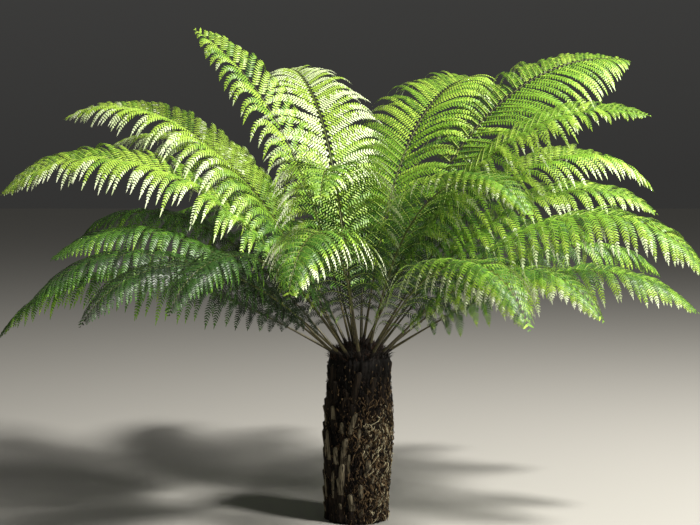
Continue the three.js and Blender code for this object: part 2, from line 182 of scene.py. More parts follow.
def foot_angle(frond):
    """Where round the head a frond stands: part of the way from its azimuth to an evenly spaced place."""
    azimuths = sorted(f["azimuth"] for f in FRONDS if f["whorl"] == frond["whorl"])
    pitch = 360 / len(azimuths)
    even = np.mean(azimuths) + pitch * (azimuths.index(frond["azimuth"]) - (len(azimuths) - 1) / 2)
    return np.radians(frond["azimuth"] + EVEN_FEET * (even - frond["azimuth"]))


class Rib:
    """The line of one frond's rib, in metres, and the frame of its blade at each point."""

    def __init__(self, frond):
        self.frond = frond
        self.length = frond["length"] * MM
        self.whorl = WHORLS[frond["whorl"]] | OWN_HABIT.get(frond["node"], {})
        ring, angle = self.whorl["ring"], foot_angle(frond)
        height = head_height(ring)
        foot = np.array([axis_shift(height) + ring * np.cos(angle), ring * np.sin(angle), height]) * MM
        middles = (np.arange(RIB_STEPS) + 0.5) / RIB_STEPS
        steps = self.tangent(middles) * self.length / RIB_STEPS
        self.places = np.vstack([foot, foot + np.cumsum(steps, axis=0)])

    def tangent(self, t):
        """Unit vectors at climb = rise - bend * t^2.2 and heading = azimuth + sway * t."""
        t = np.clip(t, 0, 1)
        climb = np.radians(self.frond["rise"] - self.frond["bend"] * t**BEND_POWER)
        heading = np.radians(self.frond["azimuth"] + self.frond["sway"] * t)
        flat = np.cos(climb)
        return np.stack([flat * np.cos(heading), flat * np.sin(heading), np.sin(climb)], axis=-1)

    def place(self, t):
        """Points on the rib, straight back from its foot where t is below 0."""
        shares = np.linspace(0, 1, RIB_STEPS + 1)
        on_rib = np.stack([np.interp(t, shares, self.places[:, k]) for k in range(3)], axis=-1)
        return on_rib + np.minimum(t, 0)[..., None] * self.length * self.tangent(np.zeros_like(t))

    def frame(self, t):
        """Along the rib, to the right of the blade and up out of it, turned about the rib by roll * t."""
        along = self.tangent(t)
        level = unit(np.stack([along[..., 1], -along[..., 0], 0 * t], axis=-1))
        roll = np.radians(self.frond["roll"] * np.clip(t, 0, 1))[..., None]
        right = level * np.cos(roll) + np.cross(level, along) * np.sin(roll)
        return along, right, np.cross(right, along)

    def half_width(self, t):
        """Half the rib's width in metres: stipe * (1 - t)^0.8, plus what is left at the tip."""
        return MM * (self.whorl["stipe"] * (1 - np.clip(t, 0, 1)) ** RIB_TAPER + RIB_TIP)


ribs = [Rib(frond) for frond in FRONDS]
print("highest point of a rib", round(max(rib.places[:, 2].max() for rib in ribs), 3), "m")

# %% [markdown]
# ## Meshes from arrays
# Blender's from_pydata takes lists and is slow for a million corners. Setting the mesh's own arrays with
# foreach_set is fast, so each shape is collected as arrays of points and of corner numbers, and one
# function turns them into a mesh. Long thin things, such as ribs, roots and hairs, are all tubes.

# %% Collect points and polygons, and make a piece of them


class Surface:
    """Points and polygons, collected part by part, with a material number for each polygon."""

    def __init__(self):
        self.points, self.polygons, self.looks, self.count = [], [], [], 0

    def add(self, points, groups, looks=0):
        """groups are arrays of corner numbers, a row per polygon. looks is a number, or a row per group."""
        points = points.reshape(-1, 3)
        for k, corners in enumerate(groups):
            look = looks if np.isscalar(looks) else looks[k]
            self.polygons.append(corners + self.count)
            self.looks.append(np.broadcast_to(look, len(corners)))
        self.points.append(points)
        self.count += len(points)

    def triangles(self):
        """How many triangles the polygons make: a polygon of n corners makes n - 2."""
        return sum(len(p) * (p.shape[1] - 2) for p in self.polygons)

    def piece(self, name, materials, node, slot):
        """Make a mesh object at the origin that rides on the one body and replaces a node."""
        mesh = bpy.data.meshes.new(name)
        points = np.concatenate(self.points).astype(np.float32)
        sizes = np.concatenate([np.full(len(p), p.shape[1]) for p in self.polygons])
        corners = np.concatenate([p.ravel() for p in self.polygons]).astype(np.int32)
        mesh.vertices.add(len(points))
        mesh.vertices.foreach_set("co", points.ravel())
        mesh.loops.add(len(corners))
        mesh.loops.foreach_set("vertex_index", corners)
        mesh.polygons.add(len(sizes))
        mesh.polygons.foreach_set("loop_start", (np.cumsum(sizes) - sizes).astype(np.int32))
        for material in materials:
            mesh.materials.append(material)
        mesh.polygons.foreach_set("material_index", np.concatenate(self.looks).astype(np.int32))
        mesh.polygons.foreach_set("use_smooth", np.full(len(sizes), True))
        mesh.update(calc_edges=True)
        made = bpy.data.objects.new(name, mesh)
        bpy.context.scene.collection.objects.link(made)
        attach(made, "root")
        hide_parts(node)


def ring_quads(rings, sides):
    """(ring, side, corner): the quads between rings of corners that are numbered ring after ring."""
    at = np.arange(rings - 1)[:, None] * sides
    side = np.arange(sides)
    after = (side + 1) % sides
    return np.stack([at + side, at + after, at + sides + after, at + sides + side], axis=-1)


def fan(first, sides, pole):
    """Triangles from each side of the ring whose first corner is numbered first, to one pole."""
    side = np.arange(sides)
    return np.stack([first + side, first + (side + 1) % sides, np.full(sides, pole)], axis=-1)


def tubes(lines, radii, sides, across=None):
    """Tubes along many lines at once, each closed by a cap at its start and a point at its end.

    lines is (tube, point, xyz) and radii (tube, point). The ring at a point has its corners at the line
    plus radius * (cos a * u + sin a * v), for angles a evenly round, where u and v are square to the line.
    """
    number, length, _ = lines.shape
    along = unit(np.gradient(lines, axis=1))
    if across is None:
        mean = lines[:, -1] - lines[:, 0]
        across = np.cross(mean, np.eye(3)[np.abs(mean).argmin(axis=1)])
    u = unit(across[:, None] - (across[:, None] * along).sum(-1, keepdims=True) * along)
    v = np.cross(along, u)
    turn = 2 * np.pi * np.arange(sides) / sides
    ring = np.cos(turn)[:, None] * u[:, :-1, None] + np.sin(turn)[:, None] * v[:, :-1, None]
    rings = lines[:, :-1, None] + radii[:, :-1, None, None] * ring
    points = np.concatenate([rings.reshape(number, -1, 3), lines[:, -1:]], axis=1)
    start = np.arange(number)[:, None, None] * points.shape[1]
    wall = ring_quads(length - 1, sides).reshape(1, -1, 4)
    last = (length - 2) * sides
    end = fan(last, sides, last + sides)[None]
    cap = np.arange(sides)[::-1][None, None]
    return points, [(group + start).reshape(-1, group.shape[-1]) for group in (wall, end, cap)]


_, sample = tubes(np.array([[[0, 0, 0], [0, 0, 1], [0, 0, 2.0]]]), np.ones((1, 3)), 6)
print("walls, end and cap of a six-sided tube along three points", [len(group) for group in sample])

# %% [markdown]
# ## Nodes and colours
# Colours are written as sRGB hex values, as a paint chart gives them. Cycles works with linear light, so
# one function undoes the sRGB curve. One more adds a node with its settings and links. Stalks and bark have
# streaks along their fibres: noise squeezed round the plant and drawn out upwards, which mixes two colours.

# %% Colour and node helpers


def linear(colour):
    """Linear RGBA of a hex colour: a channel c becomes ((c + 0.055) / 1.055)^2.4, or c / 12.92 if dark."""
    c = np.array([int(colour[i : i + 2], 16) for i in (1, 3, 5)]) / 255
    return (*np.where(c > 0.04045, ((c + 0.055) / 1.055) ** 2.4, c / 12.92), 1.0)


def add(tree, kind, settings=None, links=None):
    """One node of a kind, with inputs or properties set by name, and inputs linked from other sockets."""
    node = tree.nodes.new(kind)
    for name, value in (settings or {}).items():
        if name in node.inputs:
            node.inputs[name].default_value = value
        else:
            setattr(node, name, value)
    for name, source in (links or {}).items():
        tree.links.new(source, node.inputs[name])
    return node


def new_material(name, settings):
    """A material whose Principled shader has these settings, with the tree and shader for its patterns."""
    material = bpy.data.materials.new(name)
    material.use_nodes = True
    tree = material.node_tree
    shader = tree.nodes["Principled BSDF"]
    for socket, value in settings.items():
        shader.inputs[socket].default_value = value
    return material, tree, shader


def streaked(tree, shader, scales, noise_settings, edges, colours):
    """Link streaks to the shader's colour: noise on Object coordinates times scales mixes two colours.

    The first colour fills what is below the first edge, the second what is above the second. The noise is
    returned, so that it can drive a bump as well.
    """
    coords = add(tree, "ShaderNodeTexCoord")
    drawn = add(tree, "ShaderNodeMapping", {"Scale": scales}, {"Vector": coords.outputs["Object"]})
    noise = add(tree, "ShaderNodeTexNoise", noise_settings, {"Vector": drawn.outputs["Vector"]})
    ramp = add(tree, "ShaderNodeValToRGB", links={"Fac": noise.outputs["Fac"]})
    for element, edge, colour in zip(ramp.color_ramp.elements, edges, colours):
        element.position = edge
        element.color = linear(colour)
    tree.links.new(ramp.outputs["Color"], shader.inputs["Base Color"])
    return noise


print("linear value of mid grey", round(linear("#808080")[0], 3))

# %% [markdown]
# ## Leaf greens
# A frond is thin green tissue under a waxy skin. Young tissue is a clear yellow-green and old tissue a deeper
# green. The darkest green is painted shade, and the two palest, almost white, are painted highlights where
# the wax would shine in the sun.
# A texture could vary the colour, but a pinnule is a few millimetres wide, finer than any pattern that
# shows, so each one is simply dealt one of seven greens. The skin's gloss does vary, in patches as large as
# a few pinnules, and a noise texture gives that to the roughness.

# %% Seven greens for the blades
# The greens run from painted shade through the tissue's own greens to painted sunlit highlights on the wax.
GREENS = {
    "leaf_shade": "#13260C",
    "leaf_deep": "#284915",
    "leaf_grown": "#467020",
    "leaf_fresh": "#729E2C",
    "leaf_young": "#9DBF42",
    "leaf_painted_sunlit": "#D1E2AA",
    "leaf_painted_glint": "#E9F1CF",
}
GLOSS_PATCH = 25  # size of the patches of duller and glossier skin, in millimetres
SEMI_GLOSS, SATIN = 0.34, 0.6  # roughness of the glossier and of the duller patches


def leaf_material(name, colour):
    """Waxy leaf skin: a plain colour, IOR 1.45, and roughness that wanders between satin and semi-gloss."""
    material, tree, shader = new_material(
        name, {"Base Color": linear(colour), "IOR": 1.45, "Specular IOR Level": 0.5}
    )
    coords = add(tree, "ShaderNodeTexCoord")
    noise = add(
        tree, "ShaderNodeTexNoise", {"Scale": 1 / (GLOSS_PATCH * MM)}, {"Vector": coords.outputs["Object"]}
    )
    gloss = add(
        tree, "ShaderNodeMapRange", {"To Min": SEMI_GLOSS, "To Max": SATIN}, {"Value": noise.outputs["Fac"]}
    )
    tree.links.new(gloss.outputs["Result"], shader.inputs["Roughness"])
    return material


greens = [leaf_material(name, colour) for name, colour in GREENS.items()]
print("greens", [m.name for m in greens])

# %% [markdown]
# ## Leaflets
# Leaflets (pinnae) leave the rib in pairs, each on its own thin rib, and bear two rows of pinnules. A
# leaflet could be one mesh that is copied along the rib, but then all would hang alike. Here each has a
# line of its own, which leaves the rib sideways and a little forwards and is bent down by its weight: at
# each step it heads to the side, plus a share of the rib's direction, minus a slope that grows along it.
# All the lines of a frond are one array.

# %% Where leaflets stand, and their lines
BLADE_START = 0.13  # share of the rib that is bare stipe
SPACING_TAPER = 0.5  # leaflets stand closer towards the tip
PLACES = (0.4, 0.6)  # where in its spacing a leaflet of the left row stands, and one of the right row
CROWDED = 0.62  # the most of the spacing that a leaflet's half width takes: over a half, so they overlap
SLENDER, NARROWEST = 0.16, 4  # its half width is at most this share of its length, plus these millimetres
SOCKET = (0.3, 0.45)  # how far beside and above the rib's middle a leaflet starts, in half widths of it
# Scatter of a leaflet's length and droop as shares of them, and of its slope and sweep as they are.
LENGTH_SCATTER, DROOP_SCATTER, TILT_SCATTER, SWEEP_SCATTER = 0.05, 0.1, 0.07, 0.04
LEAFLET_STEPS = 12


def leaflet_share(u):
    """Share of the longest leaflet's length at u along the blade: 2.95 (u + 0.02)^0.7 (1 - u)^0.95."""
    return 2.95 * (u + 0.02) ** 0.7 * (1 - u) ** 0.95


class Leaflets:
    """All leaflets of a frond, in arrays with a row for each: place on the rib, side, length and line."""

    def __init__(self, rib, rng):
        count = round(rib.frond["length"] * (1 - BLADE_START) / rib.frond["pitch"])
        x = np.concatenate([(np.arange(count) + place) / count for place in PLACES])
        self.t = BLADE_START + (1 - BLADE_START) * x * (1 + SPACING_TAPER * (1 - x))
        self.side = np.repeat([-1.0, 1.0], count)
        self.u = (self.t - BLADE_START) / (1 - BLADE_START)
        self.spacing = rib.length * (1 - BLADE_START) * (1 + SPACING_TAPER * (1 - 2 * x)) / count
        scatter = 1 + LENGTH_SCATTER * rng.standard_normal(2 * count).clip(-1.6, 1.6)
        self.length = rib.length * rib.frond["leaflet"] * leaflet_share(self.u) * scatter
        widest = np.minimum(rib.whorl["widest"] * MM, SLENDER * self.length + NARROWEST * MM)
        self.half = np.minimum(CROWDED * self.spacing, widest)
        self.line = self.lines(rib, rng)
        self.along = rib.frame(self.t)[0]

    def lines(self, rib, rng):
        """(leaflet, point, xyz): the running sum of steps along side * right + sweep * along - fall * up."""
        number = len(self.t)
        start, droop, power = rib.whorl["fall"]
        v = (np.arange(LEAFLET_STEPS) + 0.5) / LEAFLET_STEPS
        tilt = TILT_SCATTER * rng.standard_normal((number, 1))
        limp = 1 + DROOP_SCATTER * rng.standard_normal((number, 1))
        fall = start + tilt + droop * limp * v**power
        lean, more_lean = rib.whorl["sweep"]
        sweep = lean + more_lean * self.u[:, None, None] ** 2
        sweep = sweep + SWEEP_SCATTER * rng.standard_normal((number, 1, 1))
        along, right, above = rib.frame(self.t)
        sideways = self.side[:, None] * right
        heading = unit(sideways[:, None] + sweep * along[:, None] - fall[..., None] * UP)
        steps = heading * (self.length / LEAFLET_STEPS)[:, None, None]
        beside, over = SOCKET
        root = rib.place(self.t) + (beside * sideways + over * above) * rib.half_width(self.t)[:, None]
        return np.concatenate([root[:, None], root[:, None] + np.cumsum(steps, axis=1)], axis=1)

    def at(self, owner, s):
        """Point, tangent, across (towards the frond's tip) and above, at share s of the owners' lines."""
        step = np.minimum(s * LEAFLET_STEPS, LEAFLET_STEPS - 1e-6)
        i = step.astype(int)
        part = (step - i)[:, None]
        bend = np.gradient(self.line, axis=1)
        point = self.line[owner, i] * (1 - part) + self.line[owner, i + 1] * part
        tangent = unit(bend[owner, i] * (1 - part) + bend[owner, i + 1] * part)
        along = self.along[owner]
        across = unit(along - (along * tangent).sum(-1, keepdims=True) * tangent)
        return point, tangent, across, self.side[owner, None] * np.cross(tangent, across)


def leaflet_width(s):
    """Share of a leaflet's greatest half width at s: it widens over its first third, and narrows as
    1 - 0.96 s^2.7 to a drawn-out tip."""
    swell = np.clip(s / 0.35, 0, 1)
    return (0.7 + 0.3 * swell * (2 - swell)) * (1 - 0.96 * s**2.7)


growth = [Leaflets(rib, np.random.default_rng(number)) for number, rib in enumerate(ribs)]
longest = max(leaflets.length.max() for leaflets in growth)
print("leaflets", sum(len(leaflets.t) for leaflets in growth), "longest", round(longest, 3), "m")

# %% [markdown]
# ## Pinnules
# Each pinnule is a thin blade with a lobed edge and a blunt point. It could be a plane with a cut-out
# picture, but a real outline holds up from every side, also as a printed or exported mesh. So it is a strip
# of a few faces whose width goes in and out, with a slight arch and twist of its own. An outline gives the
# share of the greatest half width at some shares of the length. Long pinnules have two lobes to a side, and
# short ones have one.

# %% Strips with a lobed outline
LOBED = ((0, 0.7), (0.2, 1.0), (0.4, 0.66), (0.58, 0.8), (0.8, 0.45), (1, 0))
PLAIN = ((0, 0.7), (0.4, 1.0), (0.75, 0.6), (1, 0))


def strips(root, outward, across, above, length, half, arch, outline):
    """Blades as strips: at share q the middle is root + outward * q * length - above * arch * length * q^2.

    Its two edges are the outline's share of half to either side, and its tip is one point.
    """
    q, w = np.array(outline[:-1]).T
    number, stations = len(root), len(q)
    down = above * (arch * length)[:, None]
    ahead = outward * length[:, None]
    middle = root[:, None] + ahead[:, None] * q[:, None] - down[:, None] * (q**2)[:, None]
    edge = across[:, None] * (half[:, None] * w)[..., None]
    sides = np.stack([middle + edge, middle - edge], axis=2).reshape(number, -1, 3)
    points = np.concatenate([sides, (root + ahead - down)[:, None]], axis=1)
    start = np.arange(number)[:, None, None] * points.shape[1]
    i = 2 * np.arange(stations - 1)
    quads = np.stack([i, i + 1, i + 3, i + 2], axis=-1)[None] + start
    tips = np.array([[[2 * stations - 2, 2 * stations - 1, 2 * stations]]]) + start
    return points, [quads.reshape(-1, 4), tips.reshape(-1, 3)]


print("faces of a pinnule", len(PLAIN) - 1, "or", len(LOBED) - 1)

# %% [markdown]
# A leaflet's pinnules stand in pairs along its line, closer on a short leaflet, and lean more to its tip the
# further out they stand. Each reaches as far as the leaflet's outline allows there. A last blade draws the
# leaflet out at its end. The greens are painted light and shade: leaflets deep in the heart get painted
# shade for the fronds above them, and ends are paler as a painted highlight. Copies of one pinnule would all
# have its outline and its green, so places, angles, sizes and greens are worked out as arrays, with one entry
# for each pinnule of a frond.

# %% Where the pinnules stand on their leaflets
FULL_LEAFLET = 280  # length of a leaflet of full size, in millimetres
SINGLE_BLADE = 34  # a leaflet shorter than this, in millimetres, is one blade
CLOSER = 0.45  # power of a leaflet's length by which the pinnules stand closer on short ones
COUNTED, FIRST, PINNATE = 0.92, 0.02, 0.9  # shares of its length: to count pairs over, bare, covered
PAIRS = (3, 40)  # fewest and most pairs
AHEAD = 0.2  # how far a pinnule stands past its partner on the other edge, in spacings
SLANT, MORE_SLANT, SLANT_SCATTER = 16, 34, 2  # degrees that a pinnule leans towards its leaflet's tip
REACH_SCATTER = 0.06  # scatter of a pinnule's length as a share of it
PINNULE_HALF, NARROWER = 0.34, 0.35  # half width over the spacing, and the share of it lost by the tip
END_FROM = 0.89  # where on its leaflet the last blade starts
END_HALF, SINGLE_HALF = 0.22, 0.6  # its half width over the spacing, and a single blade's over the leaflet's
TONE_SCATTER, SPECKLE = 0.4, 0.18  # scatter of the tone between leaflets, and between pinnules
# Painted shade: leaflets near the heart are darkened, as if under the fronds above.
PAINTED_HEART_SHADE, HEART = 7.0, 0.38  # leaflets in this share of the blade are darker, by these tones per share


def dealt(tone, number, rng):
    """Material numbers near a tone, a little scattered."""
    return np.clip(np.floor(tone + SPECKLE * rng.standard_normal(number)), 0, len(greens) - 1).astype(int)


def pinnule_places(rib, leaflets, rng):
    """Owner, s, edge, angle, reach, half and look of every pinnule, and then of every leaflet's end.

    The edge is 1 on the side of the frond's tip and -1 on the other. The angle grows as 16 + 34 s degrees,
    the reach is the leaflet's half width there over cos angle, and half shrinks as 1 - 0.35 s.
    """
    length = leaflets.length / MM
    pitch = rib.whorl["teeth"] * (length / FULL_LEAFLET) ** CLOSER
    pairs = np.clip(np.round(COUNTED * length / pitch), *PAIRS)
    pairs = np.where(length > SINGLE_BLADE, pairs, 0).astype(int)
    owner = np.repeat(np.arange(len(length)), 2 * pairs)
    first = np.repeat(np.cumsum(2 * pairs) - 2 * pairs, 2 * pairs)
    turn = np.arange(len(owner)) - first
    s = FIRST + PINNATE * (turn // 2 + 0.5 + AHEAD * (turn % 2)) / np.repeat(pairs, 2 * pairs)
    edge = np.where(turn % 2, -1.0, 1.0)
    angle = np.radians(SLANT + MORE_SLANT * s + SLANT_SCATTER * rng.standard_normal(len(s)))
    reach = leaflets.half[owner] * leaflet_width(s) / np.cos(angle)
    reach *= 1 + REACH_SCATTER * rng.standard_normal(len(s))
    half = PINNULE_HALF * MM * (pitch[owner] * (1 - NARROWER * s))
    tone = rib.frond["tone"] + TONE_SCATTER * rng.standard_normal(len(length))
    # Painted shade: leaflets near the heart are darker, for the fronds above them.
    tone = tone - PAINTED_HEART_SHADE * (HEART - leaflets.u).clip(0)
    # Painted highlight: the ends of longer leaflets are up to tips tones paler, as if sun shone on their wax.
    painted_tip_highlight = 2 * rib.frond["tips"] * np.minimum(1, length / FULL_LEAFLET * 2)
    look = dealt(tone[owner] + painted_tip_highlight[owner] * (s - 0.5).clip(0), len(s), rng)

    ends = np.arange(len(length))
    end_from = np.where(pairs > 0, END_FROM, 0.0)
    end_half = np.where(pairs > 0, END_HALF * MM * pitch, SINGLE_HALF * leaflets.half)
    owner = np.concatenate([owner, ends])
    s = np.concatenate([s, end_from])
    edge = np.concatenate([edge, np.ones(len(ends))])
    angle = np.concatenate([angle, np.full(len(ends), np.pi / 2)])
    reach = np.concatenate([reach, leaflets.length * (1 - end_from)])
    half = np.concatenate([half, end_half])
    look = np.concatenate([look, dealt(tone + painted_tip_highlight / 2, len(ends), rng)])
    return owner, s, edge, angle, reach, half, look


print("pairs on a full leaflet", round(COUNTED * FULL_LEAFLET / WHORLS["middle"]["teeth"]))

# %% The blades of every frond
LOBED_FROM = 21  # pinnules shorter than this, in millimetres, have the plain outline
TWIST_SCATTER = 0.1  # in radians
ARCH, ARCH_SCATTER = 0.2, 0.05  # how far a pinnule's tip bends down over its length, and the scatter of that


def frond_blades(rib, leaflets, rng):
    """Every pinnule of a frond, and the end of every leaflet, as one surface.

    A pinnule heads outwards along edge * across * cos angle + tangent * sin angle, and its breadth is
    square to that, turned a little about it.
    """
    owner, s, edge, angle, reach, half, look = pinnule_places(rib, leaflets, rng)
    point, tangent, across, above = leaflets.at(owner, s)
    side = leaflets.side[owner]
    cos, sin = np.cos(angle)[:, None], np.sin(angle)[:, None]
    outward = edge[:, None] * across * cos + tangent * sin
    breadth = -(edge * side)[:, None] * (tangent * cos - edge[:, None] * across * sin)
    twist = TWIST_SCATTER * rng.standard_normal(len(s))[:, None]
    lean = breadth * np.cos(twist) + above * np.sin(twist)
    arch = ARCH + ARCH_SCATTER * rng.standard_normal(len(s))
    long = reach > LOBED_FROM * MM
    blades = Surface()
    for chosen, outline in ((long, LOBED), (~long, PLAIN)):
        points, groups = strips(
            point[chosen], outward[chosen], lean[chosen], above[chosen],
            reach[chosen], half[chosen], arch[chosen], outline,
        )
        looks = [np.repeat(look[chosen], len(outline) - 2), look[chosen]]
        blades.add(points, groups, looks)
    return blades


SLOTS = {"inner": "young_frond", "middle": "grown_frond", "outer": "old_frond"}
blade_triangles = 0
for number, (rib, leaflets) in enumerate(zip(ribs, growth)):
    node = rib.frond["node"]
    blades = frond_blades(rib, leaflets, np.random.default_rng(100 + number))
    blades.piece(f"{node}_blades", greens, node, SLOTS[rib.frond["whorl"]])
    blade_triangles += blades.triangles()
print("triangles in the blades", blade_triangles)

# %% [markdown]
# ## Ribs and stipes
# The rib is a stiff stalk: dark and hairy at its foot, olive brown and thick as a bare stipe, greener and
# thinner along the blade. The leaflets' ribs are threads on their upper side, pale on young and sunlit
# fronds and dark on old and shaded ones, where the dark is partly painted shade. Curves with a bevel would
# make them too, but tubes from arrays stay with the blades' own lines and need no conversion.

# %% Materials of the stalks
MOTTLE, DRAWN_OUT = 14, 3  # length of a stipe's darker flecks in millimetres, and that over their width


def stalk_material(name, dark, light, rough):
    """Smooth hard stalk skin with darker flecks drawn out along Z, as on a real stipe."""
    material, tree, shader = new_material(name, {"IOR": 1.45, "Roughness": rough})
    scale = 1 / (MOTTLE * MM)
    scales = (scale * DRAWN_OUT, scale * DRAWN_OUT, scale)
    streaked(tree, shader, scales, {"Scale": 1.0, "Detail": 3.0}, (0.35, 0.65), (dark, light))
    return material


stipe = stalk_material("stipe_olive", "#211B0D", "#544E2A", 0.5)
rachis = stalk_material("rachis_green", "#3A4019", "#626B2E", 0.5)
stipe_foot = stalk_material("stipe_foot", "#0C0805", "#241B0F", 0.8)
# The dark thread green is partly painted shade, for fronds of low tone.
THREADS = {"leaflet_rib_young_sunlit": "#93A84A", "leaflet_rib_old_shaded": "#3E5220"}
threads = [
    new_material(name, {"Base Color": linear(colour), "Roughness": 0.5, "IOR": 1.45})[0]
    for name, colour in THREADS.items()
]
stalk_looks = [stipe_foot, stipe, rachis, *threads]
print("stalks", [m.name for m in stalk_looks])

# %% Tubes along the ribs
RIB_SIDES, RIB_POINTS = 8, 60
STIPE_SINK = 0.016  # share of the rib that is sunk into the head
DARK_FOOT, GREEN_FROM = 0.03, 1.5 * BLADE_START  # shares of the rib where hair ends and green begins
FLATTENED = 0.8  # thickness of a rib over its width
SLIM, SWOLLEN = 0.44, 0.26  # a real rib's width over that of the frame's solid, and what its foot adds
THREAD_SIDES, THREAD_POINTS, THREAD_END = 3, 7, 0.97
THREAD_RADIUS, THREAD_STOUTER = 0.5, 4.2  # a thread's radius in millimetres, and more per metre of leaflet
THREAD_TAPER, THREAD_PROUD = 0.8, 0.2  # shares of its radius: lost by its end, and how far it is raised
# Partly painted shade: fronds of low tone, old ones and those in shade, get the darker threads.
DARK_THREAD_TONE = 2.5  # fronds below this tone have the darker threads


def frond_stalks(rib, leaflets):
    """The rib as one flattened tube, and the leaflets' ribs as threads along their upper side.

    The tube's rings keep only 0.8 of their height. A thread's radius is (0.5 + 4.2 * length) * (1 - 0.8 s).
    """
    stalks = Surface()
    t = np.linspace(-STIPE_SINK, 1, RIB_POINTS)
    _, right, above = rib.frame(t)
    line = rib.place(t)
    slim = SLIM + SWOLLEN * (1 - t / BLADE_START).clip(0, 1)
    points, groups = tubes(line[None], (slim * rib.half_width(t))[None], RIB_SIDES, right[:1])
    rings = points[0, :-1].reshape(RIB_POINTS - 1, RIB_SIDES, 3) - line[:-1, None]
    lift = (rings * above[:-1, None]).sum(-1, keepdims=True) * above[:-1, None]
    points[0, :-1] -= ((1 - FLATTENED) * lift).reshape(-1, 3)
    wall = np.repeat(np.searchsorted((DARK_FOOT, GREEN_FROM), t[1:-1]), RIB_SIDES)
    stalks.add(points, groups, [wall, np.full(RIB_SIDES, 2), np.zeros(1, int)])

    owner = np.repeat(np.arange(len(leaflets.t)), THREAD_POINTS)
    s = np.tile(np.linspace(0, THREAD_END, THREAD_POINTS), len(leaflets.t))
    point, _, _, over = leaflets.at(owner, s)
    radius = (THREAD_RADIUS + THREAD_STOUTER * leaflets.length[owner]) * (1 - THREAD_TAPER * s) * MM
    raised = point + THREAD_PROUD * over * radius[:, None]
    shape = (len(leaflets.t), THREAD_POINTS)
    look = 4 if rib.frond["tone"] < DARK_THREAD_TONE else 3
    stalks.add(*tubes(raised.reshape(*shape, 3), radius.reshape(shape), THREAD_SIDES, leaflets.along), look)
    return stalks


stalk_triangles = 0
for rib, leaflets in zip(ribs, growth):
    stalks = frond_stalks(rib, leaflets)
    stalks.piece(f"{rib.frond['node']}_ribs", stalk_looks, rib.frond["node"], SLOTS[rib.frond["whorl"]])
    stalk_triangles += stalks.triangles()
print("triangles in the ribs", stalk_triangles)

# %% [markdown]
# ## The trunk's core
# Under everything lies a dark, fibrous column. Sculpting or a displacement modifier would need a dense mesh
# and a texture. Here the relief is a sum of waves over angle and height, with many waves round the
# column and few up it, so that it reads as upright fibres.

# %% Bark as a grid over angle and height
BARK_COLUMNS, BARK_ROWS = 150, 100
BARK_SINK, SHAGGY_SINK = 20, 10  # how far the core lies inside the frame's surface, bare and under roots
HEAD_SINK, NECK = 8, 600  # the same on the head, and the height from which the core widens towards it
FIBRE_WAVES, FIBRE_DEPTH = 26, 5.5  # how many waves, and about how deep they are together, in millimetres
AROUND, DRIFT = (7, 60), 0.02  # fewest and most waves round the trunk, and scatter of their turn per mm up
RIDGE_LIMIT, HEAD_RIDGE_LIMIT = 9, 6  # the highest that a ridge stands on the wall, and on the head
DOME_ROWS = 14
SHAGGY_SIDES = np.radians((-8, -58))  # roots grow thickest on this side at the foot and at the head
SHAGGY_TOP, SHAGGY_FADE = 735, 260  # none grow above this height, and full growth is this far below it
LOBE_POWER = 1.6  # a higher power makes the shaggy side narrower


def shagginess(angle, height):
    """Share of full root growth: the lobe (0.5 + 0.5 cos(angle - side))^1.6 times a fade towards the head.

    The side goes evenly from its angle at the foot to its angle at the head.
    """
    side = SHAGGY_SIDES[0] + (SHAGGY_SIDES[1] - SHAGGY_SIDES[0]) * height / SHOULDER_HEIGHT
    lobe = (0.5 + 0.5 * np.cos(angle - side)) ** LOBE_POWER
    return lobe * np.clip((SHAGGY_TOP - height) / SHAGGY_FADE, 0, 1)


def smooth_waves(angle, height, waves, depth, rng):
    """A sum of waves: each is cos(n * angle + k * height + phase) with its own whole n and slow k."""
    around = rng.integers(*AROUND, waves)
    up = rng.normal(0, DRIFT, waves)
    phase = rng.uniform(0, 2 * np.pi, waves)
    swing = np.cos(angle[..., None] * around + height[..., None] * up + phase)
    return depth * swing.sum(-1) / np.sqrt(waves)


def bark_surface(rng):
    """The column from the ground to its rounded head, closed by a flat disc below and a pole on top."""
    angle = np.linspace(0, 2 * np.pi, BARK_COLUMNS, endpoint=False)[None]
    height = np.linspace(0, SHOULDER_HEIGHT, BARK_ROWS)[:, None]
    relief = smooth_waves(angle + 0 * height, height + 0 * angle, FIBRE_WAVES, FIBRE_DEPTH, rng)
    sink = BARK_SINK + (SHAGGY_SINK - BARK_SINK) * shagginess(angle, height)
    sink = sink + (HEAD_SINK - sink) * np.clip((height - NECK) / (SHOULDER_HEIGHT - NECK), 0, 1)
    wall = on_trunk(angle, height + 0 * angle, np.minimum(relief, RIDGE_LIMIT) - sink)
    dome = np.linspace(0, np.pi / 2, DOME_ROWS)[1:-1, None]
    ridges = np.minimum(relief[-1], HEAD_RIDGE_LIMIT)
    ring = (SHOULDER_RADIUS + ridges * np.cos(dome) - HEAD_SINK) * np.cos(dome)
    rise = SHOULDER_HEIGHT + (HEAD_RISE - HEAD_SINK) * np.sin(dome) + 0 * angle
    head = MM * np.stack([LEAN + ring * np.cos(angle), ring * np.sin(angle), rise], axis=-1)
    grid = np.concatenate([wall, head])
    rows = len(grid)
    poles = MM * np.array([[0, 0, 0], [LEAN, 0, SHOULDER_HEIGHT + HEAD_RISE - HEAD_SINK]])
    points = np.concatenate([grid.reshape(-1, 3), poles])
    quads = ring_quads(rows, BARK_COLUMNS).reshape(-1, 4)
    underside = fan(0, BARK_COLUMNS, len(points) - 2)[:, [1, 0, 2]]
    crown = fan((rows - 1) * BARK_COLUMNS, BARK_COLUMNS, len(points) - 1)
    bark = Surface()
    bark.add(points, [quads, underside, crown])
    return bark


print("root growth half way up", shagginess(SHAGGY_SIDES, SHOULDER_HEIGHT / 2).round(2))

